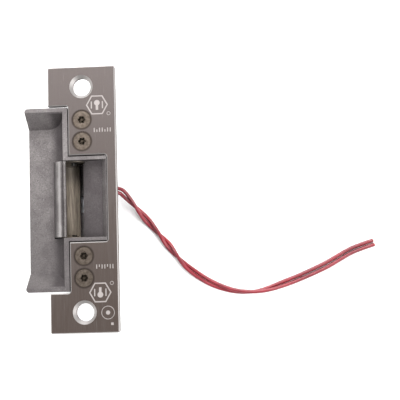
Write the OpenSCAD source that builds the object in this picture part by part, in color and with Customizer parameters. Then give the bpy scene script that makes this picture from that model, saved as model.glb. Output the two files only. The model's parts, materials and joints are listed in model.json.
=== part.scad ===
// Electric door strike with a drum-shaped swinging jaw and a fail-safe solenoid lock.
// Millimetres. +X points away from the lip, +Y up along the faceplate, +Z out of its face.
// The origin is the middle of the two fixing holes, on the faceplate's rear face.
// At rest the coil has no current: the jaw is closed by its spring, and the lock is off.

/* [Faceplate] */
// Height of the faceplate
plate_height = 123.8; // [118:0.1:150]
// Width of the faceplate
plate_width = 31.75; // [29:0.05:40]
// Thickness of the faceplate
plate_thick = 3.2; // [2.6:0.1:4]
// Distance between the two fixing holes
fixing_pitch = 104.775; // [100:0.005:112]
// Diameter of a fixing hole
fixing_hole_d = 8.2; // [5:0.1:10]
// Diameter of the dimple round a fixing hole
fixing_dimple_d = 11; // [10.4:0.1:14]
// Width of the plate left of its middle, beside the lip
plate_left_of_middle = 6.4; // [5.4:0.1:8]
// Right edge of the window, from the middle
window_edge_x = 11.3; // [11:0.1:13]
// Chamfer on the front edges of the plate
plate_chamfer = 0.45; // [0.2:0.05:0.8]

/* [Faceplate screws] */
// Distance from the middle to the inner screws
inner_screw_y = 26.6; // [25:0.1:28]
// Distance from an inner screw to the outer one
screw_pitch = 10.15; // [9.2:0.05:10.6]
// Diameter of a screw head
plate_screw_head_d = 8.8; // [7.6:0.1:9.2]
// Diameter of a screw shank
plate_screw_d = 4.2; // [3.4:0.1:5]
// Length of a screw under the plate
plate_screw_reach = 8; // [5:0.5:10]

/* [Case] */
// Height of the case and lip
case_height = 85.7; // [82:0.1:103]
// Left wall of the case, from the middle
case_left = 17.2; // [16.8:0.1:20]
// Right wall of the case, from the middle
case_right = 10.6; // [10:0.1:12.8]
// Depth of the whole strike, from face to back
overall_depth = 38.1; // [37.6:0.1:46]
// Thickness of the case walls
case_wall = 2; // [1.4:0.1:2.4]
// Thickness of the back cover
cover_thick = 1.5; // [1:0.1:2]
// Drop from the plate's face to the rim of the case
rim_drop = 0.5; // [0.2:0.1:0.8]
// Gap between the plate and the case rim
rim_gap = 0.5; // [0.2:0.1:0.8]

/* [Lip] */
// Left edge of the lip, from the middle
lip_reach = 27.1; // [25:0.1:34]
// Radius of the curve that leads down to the lip
lip_curve = 8.5; // [7:0.1:9.2]
// Thickness of the lip
lip_thick = 2; // [1.5:0.1:3]
// Right end of the lip's curve, from the middle
lip_start = 9.2; // [8.8:0.1:10]
// Width of the flat strip at each end of the lip
end_strip = 1.9; // [1.2:0.1:3]
// How far each sloping end wall runs along the lip
end_slope = 6.9; // [3:0.1:8]

/* [Jaw] */
// Half height of the window for the jaw
window_half = 18; // [16.5:0.1:19]
// Left of the middle to the jaw's axis
jaw_axis_x = 5.2; // [5:0.1:5.4]
// Depth of the jaw's axis under the face
jaw_axis_depth = 8.6; // [8.2:0.1:8.8]
// Radius to the outside of the nose
nose_r = 9.8; // [9.4:0.1:9.9]
// Radius of the hollow inside the jaw
hollow_r = 6.8; // [5.4:0.1:7.2]
// Thickness of the jaw's shell
shell_thick = 2; // [1.6:0.1:2.3]
// Diameter of the jaw's pivot pins
jaw_pin_d = 3; // [2:0.1:3.6]
// Radius of the round ends of the jaw
cheek_r = 5; // [4:0.1:5.2]
// Thickness of the round ends of the jaw
cheek_thick = 1.5; // [1:0.1:2]
// Wire of the jaw spring
jaw_spring_wire = 0.6; // [0.4:0.05:0.8]

/* [Lock] */
// Stroke of the plunger
plunger_stroke = 1.8; // [1.5:0.1:2]
// Diameter of the plunger
plunger_d = 6.4; // [5:0.1:7]
// Length of the lever's arm to its tip
tip_arm = 8; // [7:0.1:8.4]
// Width of the lever's tip
tip_width = 3.5; // [2.5:0.1:4]
// Diameter of the lever's pin
lever_pin_d = 2; // [1.5:0.1:2.4]
// Diameter of the cross pin in the plunger
cross_pin_d = 2; // [1.5:0.1:2.2]
// Thickness of the carrier plate
carrier_thick = 1.2; // [1:0.1:1.5]
// Depth of the lever's pin under the carrier plate
lever_drop = 2; // [1.9:0.1:2.4]

/* [Solenoid] */
// Width of the solenoid frame
solenoid_width = 14; // [13:0.1:14.6]
// Length of the solenoid frame
solenoid_length = 32; // [26:0.5:33]
// Thickness of the solenoid frame
solenoid_plate = 1.2; // [1:0.1:1.5]
// Outer diameter of the bobbin's flanges
flange_d = 12.6; // [11.6:0.1:12.8]
// Thickness of the bobbin's flanges
flange_thick = 1.2; // [0.8:0.1:1.6]
// Start of the solenoid, from the middle
solenoid_start = 6; // [5.6:0.1:7]

/* [Leads] */
// Diameter of a lead
lead_d = 1.8; // [1.4:0.1:2]

/* [Hidden] */
// Fineness of small, middle and large curves
small_fn = 24;
curve_fn = 48;
large_fn = 96;
// Clearances
slide_gap = 0.08;
pin_gap = 0.05;
part_gap = 0.3;
swing_gap = 0.3;
cut = 1;

face_z = plate_thick;
rim_z = face_z - rim_drop;
back_z = face_z - overall_depth;
floor_z = back_z + cover_thick;
case_half = case_height / 2;
notch_half = case_half + rim_gap + 0.15;
rim_half = window_half + 1.6;
rim_right = window_edge_x - part_gap;
plate_window_half = rim_half + rim_gap + 0.1;
strip_right = plate_left_of_middle + rim_gap;
plate_corner_r = 1;
notch_corner_r = 1.2;

axis_x = -jaw_axis_x;
axis_z = face_z - jaw_axis_depth;
shell_r = hollow_r + shell_thick;
bay_r = nose_r + swing_gap;
jaw_half = window_half - 0.4;
web_thick = 1.2;
cheek_end = jaw_half + cheek_thick;
cheek_bay_end = cheek_end + part_gap;
cheek_bay_r = cheek_r + swing_gap;
nose_from = 100;
nose_to = 172;
shell_from = 152;
shell_to = 278;
web_from = 195;
web_to = 270;
nose_inside_x = axis_x - 2.9;
nose_groove_x = axis_x - 4.2;
nose_groove_w = 0.35;
nose_step_x = axis_x - 3.95;

lip_floor_z = rim_z - lip_curve;
lip_corner_r = 1.5;
ledge_left_x = -0.9;
ledge_right_x = 8.3;
ledge_low_z = face_z - 7;
ledge_high_z = face_z - 4.4;
ledge_step = 0.9;
ledge_step_x = ledge_right_x + 0.25;
ledge_under_z = face_z - 10.4;
bevel_top_z = rim_z - 0.1;

ceiling_z = axis_z - bay_r - 1.5;
carrier_z = ceiling_z - carrier_thick;
cavity_left = -case_left + case_wall;
cavity_right = case_right - case_wall;
cavity_half = case_half - case_wall;

lug_from = 232;
lug_to = 246;
lug_r = shell_r + 2.2;
lug_width = 7;
tip_left_x = axis_x - 3.8;
tip_length = 2.6;
tip_end_y = 0;
lever_y = tip_end_y - tip_arm;
lever_z = carrier_z - lever_drop;
lug_y = tip_end_y - tip_length / 2;
tip_rest_z = axis_z - lug_r - 0.5;
lever_plate = 1.6;
lever_hub_r = lever_pin_d / 2 + 0.6;
slot_left_x = tip_left_x - 0.6;
slot_right_x = tip_left_x + tip_width + 0.6;

solenoid_x = (cavity_left + cavity_right) / 2;
solenoid_end = solenoid_start + solenoid_length;
coil_gap = 0.1;
solenoid_z = carrier_z - solenoid_plate - coil_gap - flange_d / 2;
leg_bottom_z = solenoid_z - flange_d / 2 - part_gap;
bobbin_start = solenoid_start + solenoid_plate;
bobbin_end = solenoid_end - solenoid_plate;
bore_r = plunger_d / 2 + slide_gap;
tube_r = bore_r + 0.8;
winding_r = flange_d / 2 - 0.35;
tape_thick = 0.15;
plunger_start = lever_y - 3.4;
plunger_end = bobbin_start + 14.5;
pole_face = plunger_end + plunger_stroke + 0.3;
slot_width = lever_plate + 0.6;
slot_end = lever_y + 3.4;
clip_y = slot_end + 1.2;
clip_thick = 0.8;
clip_groove_r = plunger_d / 2 - 0.6;
clip_r = plunger_d / 2 + 1.6;
spigot_r = 2;
tongue_right_x = solenoid_x + lever_plate / 2;
tongue_half = cross_pin_d / 2 + 1.3;
fork_gap = 0.12;
ear_thick = 1.2;
ear_half = lever_pin_d / 2 + 1.4;
ear_left_x = tip_left_x - 1.7;
ear_right_x = solenoid_x + plunger_d / 2 + 1.1;
carrier_left = cavity_left + 0.7;
carrier_right = cavity_right - 0.6;
carrier_start = lever_y - 6;
carrier_end = solenoid_end - 1.8;

carrier_screw_d = 2.5;
carrier_screw_head_d = 3.6;
carrier_screw_left = cavity_left + 2.5;
carrier_screw_right = cavity_right - 2.3;
carrier_screw_low = carrier_start + 2.4;
carrier_screw_high = carrier_end - 2.4;
solenoid_screw_d = 2.5;
solenoid_screw_head_d = 4.4;
solenoid_screw_inset = 8;
cover_screw_d = 2.5;
cover_screw_head_d = 4.6;
cover_screw_reach = 6;
boss_r = 2.4;
boss_inset = 1.6;

jaw_spring_r = 3.3;
jaw_spring_turns = 3;
spring_bay_depth = 3.2;
plunger_spring_wire = 0.6;
plunger_spring_r = plunger_d / 2 + 0.75;
plunger_spring_turns = 5;

lead_y = 6;
lead_z = ceiling_z - 6;
lead_spread = lead_d / 2 + 0.15;
bench_lead_z = back_z + lead_d / 2 + 0.05;
grommet_r = 3.2;
grommet_flange_r = 4;
grommet_flange = 1;
grommet_out_x = case_right + grommet_flange;

// The way of the two leads from the grommet to their cut ends, as a pair that lies loosely
// twisted on the bench. Each row: X and Y from the grommet's mouth, the share of the drop to
// the bench, the twist in degrees, and half the gap as a share of lead_spread
pair_route = [
    [0, 0, 0, 0, 1], [2.4, -0.8, 0.08, 5, 1], [4.6, -3.1, 0.29, 30, 1.05],
    [7.3, -6.5, 0.55, 65, 1.05], [10.2, -10.2, 0.8, 115, 1], [13.5, -14.3, 0.96, 170, 1],
    [16.9, -18.4, 1, 225, 0.95], [20.5, -22.7, 1, 275, 0.95], [23.7, -26.9, 1, 340, 0.95],
    [27, -31.3, 1, 415, 0.95], [31, -36.1, 1, 475, 0.95], [35.8, -40.6, 1, 520, 0.95],
    [44.8, -46.6, 1, 560, 0.95], [56.4, -50.9, 1, 605, 0.95], [68.4, -51.4, 1, 640, 0.95],
    [79.9, -48.3, 1, 700, 1], [91.2, -44.2, 1, 720, 1.05], [102.8, -39.1, 1, 720, 1.1],
    [114.4, -32.9, 1, 720, 1.05], [125.7, -29.1, 1, 720, 1.05]];

// ---------- helpers ----------

// A profile drawn in X and Z, made solid between two places along Y
module along_y(from, to) {
    translate([0, to, 0]) rotate([90, 0, 0]) linear_extrude(height = to - from) children();
}

// A profile drawn in Y and Z, made solid between two places along X
module along_x(from, to) {
    translate([from, 0, 0]) rotate([90, 0, 90]) linear_extrude(height = to - from) children();
}

// A block from one corner to the other
module block(low, high) {
    translate(low) cube(high - low);
}

// A round bar along Y
module bar_y(x, z, r, from, to, fn = curve_fn) {
    translate([x, to, z]) rotate([90, 0, 0]) cylinder(r = r, h = to - from, $fn = fn);
}

// A round bar along X
module bar_x(y, z, r, from, to, fn = curve_fn) {
    translate([from, y, z]) rotate([0, 90, 0]) cylinder(r = r, h = to - from, $fn = fn);
}

// A slice of a circle between two angles of less than 180 degrees apart
module slice(r, from, to) {
    far = 2 * r;
    middle = (from + to) / 2;
    intersection() {
        circle(r = r, $fn = large_fn);
        polygon([[0, 0], far * [cos(from), sin(from)], far * [cos(middle), sin(middle)],
            far * [cos(to), sin(to)]]);
    }
}

// A wedge that chamfers a front edge along X, with the empty side towards +Y
module edge_along_x(x1, x2, y, side) {
    reach = plate_chamfer;
    along_x(x1, x2) polygon([[y - side * reach, face_z], [y + side, face_z - reach - 1],
        [y + side, face_z + 1], [y - side * (reach + 1), face_z + 1]]);
}

// A wedge that chamfers a front edge along Y, with the empty side towards +X
module edge_along_y(y1, y2, x, side) {
    reach = plate_chamfer;
    along_y(y1, y2) polygon([[x - side * reach, face_z], [x + side, face_z - reach - 1],
        [x + side, face_z + 1], [x - side * (reach + 1), face_z + 1]]);
}

// A countersunk screw along Z: a cone head with its top at z, then a plain shank
module flat_screw(head_d, shank_d, head_z, length) {
    cone = (head_d - shank_d) / 2;
    translate([0, 0, head_z - 0.3]) cylinder(r = head_d / 2, h = 0.3, $fn = curve_fn);
    translate([0, 0, head_z - 0.3 - cone])
        cylinder(r1 = shank_d / 2, r2 = head_d / 2, h = cone, $fn = curve_fn);
    translate([0, 0, head_z - length]) cylinder(r = shank_d / 2, h = length - 0.3, $fn = curve_fn);
}

// The seat for a countersunk screw, with its shank hole wider by a gap
module flat_screw_seat(head_d, shank_d, head_z, length) {
    cone = (head_d - shank_d) / 2;
    translate([0, 0, head_z - 0.3]) cylinder(r = head_d / 2, h = 0.3 + cut, $fn = curve_fn);
    translate([0, 0, head_z - 0.3 - cone])
        cylinder(r1 = shank_d / 2, r2 = head_d / 2, h = cone, $fn = curve_fn);
    translate([0, 0, head_z - length])
        cylinder(r = shank_d / 2 + pin_gap, h = length - 0.3 - cone / 2, $fn = curve_fn);
}

// ---------- swept wires ----------

function unit(v) = v / norm(v);
function blend(a, b, c, d, t) = 0.5 * ((2 * b) + (c - a) * t + (2 * a - 5 * b + 4 * c - d) * t * t
    + (3 * b - a - 3 * c + d) * t * t * t);
function at(points, i) = points[min(max(i, 0), len(points) - 1)];
// A smooth line through the points, with a few steps between each two
function smooth_line(points, steps) = concat(
    [for (i = [0 : len(points) - 2], s = [0 : steps - 1])
        blend(at(points, i - 1), points[i], points[i + 1], at(points, i + 2), s / steps)],
    [points[len(points) - 1]]);
// A wire starts straight along its first heading
function heading(line, i, first) = i == 0 ? first : unit(at(line, i + 1) - at(line, i - 1));
// A side direction carried on square to the line, from one point to the next
function carried(line, i, first, side) = let(t = heading(line, i, first)) unit(side - (side * t) * t);
function sides_of(line, first, side) = [for (i = 0, s = carried(line, 0, first, side); i < len(line);
    i = i + 1, s = i < len(line) ? carried(line, i, first, s) : s) s];

// A wire of round section along a line, with its first heading and a side square to it
module wire(line, r, first, side, around = 8) {
    sides = sides_of(line, first, side);
    count = len(line);
    points = [for (i = [0 : count - 1], k = [0 : around - 1])
        let(t = heading(line, i, first), u = sides[i], w = cross(t, u), a = (k + 0.5) * 360 / around)
        line[i] + r * (cos(a) * u + sin(a) * w)];
    walls = [for (i = [0 : count - 2], k = [0 : around - 1])
        let(n = (k + 1) % around)
        [i * around + k, i * around + n, (i + 1) * around + n, (i + 1) * around + k]];
    first_end = [[for (k = [around - 1 : -1 : 0]) k]];
    last_end = [[for (k = [0 : around - 1]) (count - 1) * around + k]];
    polyhedron(points = points, faces = [for (f = concat(first_end, walls, last_end))
        [for (j = [len(f) - 1 : -1 : 0]) f[j]]]);
}

// The line of a coil spring along Y
function coil_line(x, z, r, from, to, turns, steps, start) = [for (i = [0 : turns * steps])
    let(a = start + 360 * i / steps)
    [x + r * cos(a), from + (to - from) * i / (turns * steps), z + r * sin(a)]];

// Where the middle of the pair lies, for one row of its way
function pair_middle(row) = [grommet_out_x + row[0], lead_y + row[1],
    lead_z + row[2] * (bench_lead_z - lead_z)];
// The line of one lead of a twisted pair, on the side +1 or -1 of the pair's middle
function lead_line(pair, side) = [for (i = [0 : len(pair) - 1])
    let(twist = pair[i][3], gap = pair[i][4] * lead_spread,
        along = i == 0 ? [1, 0, 0] : unit(pair_middle(at(pair, i + 1)) - pair_middle(at(pair, i - 1))),
        left = unit([-along[1], along[0], 0]), up = cross(along, left))
    pair_middle(pair[i]) + [0, 0, gap * abs(sin(twist))]
    + side * gap * (cos(twist) * left + sin(twist) * up)];

// ---------- faceplate ----------

module plate_outline() {
    half_w = plate_width / 2;
    half_h = plate_height / 2;
    r = plate_corner_r;
    difference() {
        union() {
            translate([-half_w, r - half_h]) square([plate_width, plate_height - 2 * r]);
            translate([r - half_w, -half_h]) square([plate_width - 2 * r, plate_height]);
            for (sx = [-1, 1], sy = [-1, 1])
                translate([sx * (half_w - r), sy * (half_h - r)]) circle(r = r, $fn = small_fn);
        }
        rounded_cut(-half_w - cut, -plate_left_of_middle, notch_half);
        rounded_cut(-half_w - cut, window_edge_x, plate_window_half);
    }
}

// A cut from the left whose two right corners are rounded
module rounded_cut(left, right, half) {
    r = notch_corner_r;
    translate([left, r - half]) square([right - left, 2 * (half - r)]);
    translate([left, -half]) square([right - left - r, 2 * half]);
    for (sy = [-1, 1]) translate([right - r, sy * (half - r)]) circle(r = r, $fn = small_fn);
}

module plate_chamfers() {
    half_w = plate_width / 2;
    half_h = plate_height / 2;
    r = notch_corner_r;
    edge_along_y(-half_h - cut, half_h + cut, half_w, 1);
    for (s = [-1, 1]) {
        edge_along_x(-half_w - cut, half_w + cut, s * half_h, s);
        edge_along_y(s > 0 ? notch_half : -half_h - cut, s > 0 ? half_h + cut : -notch_half, -half_w, -1);
        edge_along_x(-half_w - cut, -plate_left_of_middle - r, s * notch_half, -s);
        edge_along_x(-plate_left_of_middle - cut, window_edge_x - r, s * plate_window_half, -s);
        edge_along_y(s > 0 ? plate_window_half - cut : r - notch_half,
            s > 0 ? notch_half - r : cut - plate_window_half, -plate_left_of_middle, -1);
    }
    edge_along_y(r - plate_window_half, plate_window_half - r, window_edge_x, -1);
    for (s = [-1, 1]) {
        chamfer_cone(-plate_left_of_middle - r, s * (notch_half - r));
        chamfer_cone(window_edge_x - r, s * (plate_window_half - r));
    }
}

// The chamfer round an inner corner
module chamfer_cone(x, y) {
    r = notch_corner_r;
    translate([x, y, face_z - plate_chamfer])
        cylinder(r1 = r, r2 = r + 2 * plate_chamfer, h = 2 * plate_chamfer, $fn = small_fn);
}

// Engraved marks of one end: a hexagon badge with a keyhole, a dot ring and a row of bars
module engraving() {
    badge_y = fixing_pitch / 2 - 8.9;
    bars_y = inner_screw_y + screw_pitch / 2;
    translate([7.3, badge_y]) {
        difference() {
            circle(r = 5.2, $fn = 6);
            circle(r = 4.5, $fn = 6);
        }
        translate([0, 1]) circle(r = 1.35, $fn = small_fn);
        translate([-0.6, -2.4]) square([1.2, 3]);
        for (s = [-1, 1]) translate([s * 2.6 - 0.3, -1.7]) square([0.6, 3.4]);
    }
    translate([12.7, badge_y - 4.2]) ring_mark(0.9, 0.3);
    for (i = [0 : 6]) translate([5.6 + i * 1.25, bars_y - 1]) square([0.5, i % 3 == 1 ? 1.2 : 2]);
}

// A round engraved line
module ring_mark(r, line) {
    difference() {
        circle(r = r, $fn = small_fn);
        circle(r = r - line, $fn = small_fn);
    }
}

module faceplate() {
    mark_depth = 0.12;
    color([0.5, 0.47, 0.45]) difference() {
        linear_extrude(height = plate_thick) plate_outline();
        plate_chamfers();
        for (s = [-1, 1]) translate([0, s * fixing_pitch / 2, 0]) {
            translate([0, 0, -cut])
                cylinder(r = fixing_hole_d / 2, h = plate_thick + 2 * cut, $fn = curve_fn);
            translate([0, 0, face_z - (fixing_dimple_d - fixing_hole_d) / 2])
                cylinder(r1 = fixing_hole_d / 2, r2 = fixing_dimple_d / 2 + cut,
                    h = (fixing_dimple_d - fixing_hole_d) / 2 + cut, $fn = curve_fn);
        }
        plate_screw_places() flat_screw_seat(plate_screw_head_d, plate_screw_d, face_z - 0.15, 8);
        translate([0, 0, face_z - mark_depth]) linear_extrude(height = cut) {
            engraving();
            mirror([0, 1]) engraving();
            translate([10.7, -fixing_pitch / 2 - 0.3]) ring_mark(3.1, 0.35);
            translate([10.7, -fixing_pitch / 2 - 0.3]) circle(r = 1, $fn = small_fn);
            translate([12, -fixing_pitch / 2 - 6]) square([1.2, 1.2]);
        }
    }
}

// The four places of the faceplate's screws
module plate_screw_places() {
    for (s = [-1, 1], n = [0, 1]) translate([0, s * (inner_screw_y + n * screw_pitch), 0]) children();
}

module faceplate_screws() {
    socket_r = 1.75;
    socket_depth = 1.7;
    color([0.45, 0.41, 0.34]) plate_screw_places() {
        difference() {
            flat_screw(plate_screw_head_d, plate_screw_d, face_z - 0.15, plate_thick + plate_screw_reach);
            translate([0, 0, face_z - socket_depth]) linear_extrude(height = socket_depth + cut)
                difference() {
                    union() {
                        circle(r = 1.35, $fn = small_fn);
                        for (i = [0 : 5]) rotate(60 * i)
                            translate([socket_r - 0.45, 0]) circle(r = 0.5, $fn = 16);
                    }
                    circle(r = 0.6, $fn = small_fn);
                }
        }
    }
}

// ---------- case ----------

// The trough of the lip: a curve that flattens to the left, between two sloping ends
module lip_trough() {
    inner_half = case_half - end_strip;
    intersection() {
        along_y(-case_half, case_half) union() {
            translate([-lip_start - lip_curve, rim_z]) circle(r = lip_curve, $fn = large_fn);
            translate([-lip_reach - cut, lip_floor_z])
                square([lip_reach + cut - lip_start - lip_curve, lip_curve + cut]);
            translate([-lip_reach - cut, rim_z]) square([lip_reach + cut - lip_start, cut]);
        }
        along_x(-lip_reach - cut, -lip_start + cut) polygon([
            [-inner_half + end_slope, lip_floor_z - cut / 10],
            [inner_half - end_slope, lip_floor_z - cut / 10],
            [inner_half, rim_z], [inner_half, rim_z + cut],
            [-inner_half, rim_z + cut], [-inner_half, rim_z]]);
    }
}

// Outline of the lip and case seen along Y, without the window
module case_profile() {
    fillet = 4;
    translate([-case_left, floor_z]) square([case_left + case_right, -floor_z]);
    translate([-case_left, -cut]) square([case_left - strip_right, rim_z + cut]);
    translate([-lip_reach, lip_floor_z - lip_thick])
        square([lip_reach - case_left + cut, rim_z - lip_floor_z + lip_thick]);
    difference() {
        translate([-case_left - fillet, lip_floor_z - lip_thick - fillet]) square([fillet + cut, fillet]);
        translate([-case_left - fillet, lip_floor_z - lip_thick - fillet]) circle(r = fillet, $fn = curve_fn);
    }
}

// Space that the jaw turns in, with the ledge on its right left standing
module jaw_bay() {
    along_y(-window_half, window_half) difference() {
        union() {
            translate([axis_x, axis_z]) circle(r = bay_r, $fn = large_fn);
            translate([axis_x - bay_r, axis_z])
                square([bay_r + ledge_left_x - axis_x, face_z - axis_z + cut]);
        }
        translate([ledge_left_x, ledge_under_z]) square([bay_r * 2, bay_r * 3]);
    }
    for (s = [-1, 1])
        bar_y(axis_x, axis_z, cheek_bay_r, s > 0 ? window_half - cut : -cheek_bay_end,
            s > 0 ? cheek_bay_end : cut - window_half);
}

// The pocket right of the jaw: a sloping floor, a low step and a bevelled rim
module right_pocket() {
    along_y(-window_half, window_half) polygon([
        [ledge_left_x - cut / 10, ledge_low_z], [ledge_right_x, ledge_high_z],
        [ledge_step_x, ledge_high_z + ledge_step], [rim_right - 0.2, bevel_top_z],
        [rim_right - 0.2, face_z + cut],
        [ledge_left_x - cut / 10, face_z + cut]]);
}

module case_casting() {
    lug_room = lug_r + swing_gap;
    lug_room_half = lug_width / 2 + part_gap + 0.1;
    lug_room_top = axis_z - hollow_r;
    lug_opening = lug_r / 2;
    color([0.41, 0.4, 0.42]) difference() {
        union() {
            along_y(-case_half, case_half) case_profile();
            block([-strip_right - cut, -rim_half, -cut], [case_right, rim_half, rim_z]);
            block([case_right - cut, -rim_half, -cut], [rim_right, rim_half, rim_z]);
        }
        lip_trough();
        jaw_bay();
        right_pocket();
        for (sy = [-1, 1]) lip_corner(sy);
        intersection() {
            bar_y(axis_x, axis_z, lug_room, lug_y - lug_room_half, lug_y + lug_room_half, large_fn);
            block([axis_x - lug_room, lug_y - lug_room_half, axis_z - lug_room],
                [axis_x + lug_room, lug_y + lug_room_half, lug_room_top]);
        }
        block([axis_x - lug_opening, lug_y - lug_room_half, ceiling_z - cut],
            [axis_x + lug_opening, lug_y + lug_room_half, axis_z - bay_r + cut]);
        difference() {
            block([cavity_left, -cavity_half, floor_z - cut], [cavity_right, cavity_half, ceiling_z]);
            cover_screw_places() translate([0, 0, floor_z - 2 * cut])
                cylinder(r = boss_r, h = ceiling_z - floor_z + 3 * cut, $fn = curve_fn);
        }
        bar_y(axis_x, axis_z, cheek_bay_r, cheek_bay_end - cut, cheek_bay_end + spring_bay_depth);
        bar_y(axis_x, axis_z, jaw_pin_d / 2, -case_half - cut, case_half + cut);
        plate_screw_places() translate([0, 0, -plate_screw_reach - 1.5])
            cylinder(r = plate_screw_d / 2 + pin_gap, h = plate_screw_reach + 1.5 + cut, $fn = curve_fn);
        carrier_screw_places() translate([0, 0, ceiling_z - cut])
            cylinder(r = carrier_screw_d / 2 + pin_gap, h = 4.5 + cut, $fn = small_fn);
        cover_screw_places() translate([0, 0, floor_z - cut])
            cylinder(r = cover_screw_d / 2 + pin_gap, h = cover_screw_reach + cut, $fn = small_fn);
        bar_x(lead_y, lead_z, grommet_r, cavity_right - cut, case_right + cut);
    }
}

// Rounds a free corner of the lip
module lip_corner(side) {
    r = lip_corner_r;
    y = side * (case_half - r);
    difference() {
        translate([-lip_reach - cut, side > 0 ? y : y - r - cut, lip_floor_z - lip_thick - cut])
            cube([r + cut, r + cut, lip_curve + lip_thick + 2 * cut + 1]);
        translate([r - lip_reach, y, lip_floor_z - lip_thick - 2 * cut])
            cylinder(r = r, h = lip_curve + lip_thick + 4 * cut + 1, $fn = small_fn);
    }
}

// The four places of the back cover's screws
module cover_screw_places() {
    for (x = [cavity_left + boss_inset, cavity_right - boss_inset], s = [-1, 1])
        translate([x, s * (cavity_half - boss_inset), 0]) children();
}

// ---------- jaw ----------

// Section of the jaw: a shell round the axis and a heavy nose on its left
module jaw_profile() {
    translate([axis_x, axis_z]) difference() {
        union() {
            slice(shell_r, shell_from, shell_to);
            slice(nose_r, nose_from, nose_to);
        }
        circle(r = hollow_r, $fn = large_fn);
        translate([nose_inside_x - axis_x, 0]) square([nose_r, nose_r + cut]);
        translate([-nose_r, face_z - 0.05 - axis_z]) square([2 * nose_r, cut + 1]);
        translate([nose_step_x - axis_x, face_z - 0.6 - axis_z]) square([nose_r, cut + 1]);
        translate([nose_groove_x - axis_x, face_z - 0.9 - axis_z]) square([nose_groove_w, cut + 1]);
    }
}

module jaw() {
    color([0.4, 0.38, 0.35]) difference() {
        union() {
            along_y(-jaw_half, jaw_half) jaw_profile();
            along_y(lug_y - lug_width / 2, lug_y + lug_width / 2) translate([axis_x, axis_z]) difference() {
                slice(lug_r, lug_from, lug_to);
                circle(r = (hollow_r + shell_r) / 2, $fn = large_fn);
            }
            for (s = [-1, 1]) {
                along_y(s > 0 ? jaw_half - web_thick : -jaw_half, s > 0 ? jaw_half : web_thick - jaw_half)
                    translate([axis_x, axis_z]) slice((hollow_r + shell_r) / 2, web_from, web_to);
                bar_y(axis_x, axis_z, cheek_r, s > 0 ? jaw_half : -cheek_end, s > 0 ? cheek_end : -jaw_half);
            }
        }
        bar_y(axis_x, axis_z, jaw_pin_d / 2 + pin_gap, -cheek_end - cut, cheek_end + cut);
    }
}

module jaw_pins() {
    color([0.7, 0.7, 0.72]) for (s = [-1, 1])
        bar_y(axis_x, axis_z, jaw_pin_d / 2, s > 0 ? jaw_half + 0.2 : 0.5 - case_half,
            s > 0 ? case_half - 0.5 : -jaw_half - 0.2);
}

module jaw_spring() {
    from = cheek_bay_end - part_gap + jaw_spring_wire / 2 + 0.15;
    to = cheek_bay_end + spring_bay_depth - jaw_spring_wire / 2;
    r = jaw_spring_r;
    coil = coil_line(axis_x, axis_z, r, from, to, jaw_spring_turns, 18, 90);
    color([0.72, 0.72, 0.7]) wire(coil, jaw_spring_wire / 2, [-1, 0, 0], [0, 0, 1]);
}

// ---------- lock ----------

module carrier_screw_places() {
    for (x = [carrier_screw_left, carrier_screw_right], y = [carrier_screw_low, carrier_screw_high])
        translate([x, y, 0]) children();
}

module solenoid_screw_places() {
    for (y = [solenoid_start + solenoid_screw_inset, solenoid_end - solenoid_screw_inset])
        translate([solenoid_x, y, 0]) children();
}

module carrier_plate() {
    color([0.68, 0.68, 0.7]) difference() {
        union() {
            block([carrier_left, carrier_start, carrier_z], [carrier_right, carrier_end, ceiling_z]);
            for (x = [ear_left_x, ear_right_x]) {
                block([x, lever_y - ear_half, lever_z], [x + ear_thick, lever_y + ear_half, carrier_z + 0.1]);
                bar_x(lever_y, lever_z, ear_half, x, x + ear_thick);
            }
        }
        block([slot_left_x, lever_y + 2.6, carrier_z - cut],
            [slot_right_x, tip_end_y + 0.9, ceiling_z + cut]);
        bar_x(lever_y, lever_z, lever_pin_d / 2, ear_left_x - cut, ear_right_x + ear_thick + cut);
        carrier_screw_places() translate([0, 0, carrier_z - cut])
            cylinder(r = carrier_screw_d / 2 + pin_gap, h = carrier_thick + 2 * cut, $fn = small_fn);
        solenoid_screw_places() flat_screw_seat(solenoid_screw_head_d, solenoid_screw_d, ceiling_z, 5);
    }
}

module carrier_screws() {
    color([0.75, 0.75, 0.77]) carrier_screw_places() difference() {
        union() {
            translate([0, 0, carrier_z - 1.4])
                cylinder(r = carrier_screw_head_d / 2, h = 1.4, $fn = curve_fn);
            translate([0, 0, carrier_z - 0.1])
                cylinder(r = carrier_screw_d / 2, h = carrier_thick + 4, $fn = curve_fn);
        }
        translate([0, 0, carrier_z - 1.4 - cut]) cylinder(r = 0.9, h = 0.9 + cut, $fn = 6);
    }
}

module lock_lever() {
    arm_bottom = lever_z - 0.8;
    arm_top = lever_z + 0.8;
    fork_half = cross_pin_d / 2 + fork_gap;
    tip_right = tip_left_x + tip_width;
    color([0.62, 0.6, 0.52]) difference() {
        union() {
            bar_x(lever_y, lever_z, lever_hub_r, tip_left_x, tongue_right_x);
            block([tip_left_x, lever_y, arm_bottom], [tip_right, tip_end_y, arm_top]);
            block([tip_left_x, tip_end_y - tip_length, arm_bottom], [tip_right, tip_end_y, tip_rest_z]);
            block([tongue_right_x - lever_plate, lever_y - tongue_half, solenoid_z - 1.8],
                [tongue_right_x, lever_y + tongue_half, lever_z]);
        }
        bar_x(lever_y, lever_z, lever_pin_d / 2 + pin_gap, tip_left_x - cut, tongue_right_x + cut);
        block([tongue_right_x - lever_plate - cut, lever_y - fork_half, solenoid_z - 1.8 - cut],
            [tongue_right_x + cut, lever_y + fork_half, solenoid_z + cross_pin_d / 2 + 0.6]);
    }
}

module lever_pin() {
    color([0.75, 0.75, 0.77])
        bar_x(lever_y, lever_z, lever_pin_d / 2, ear_left_x - 1.1, ear_right_x + ear_thick + 1.1);
}

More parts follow.
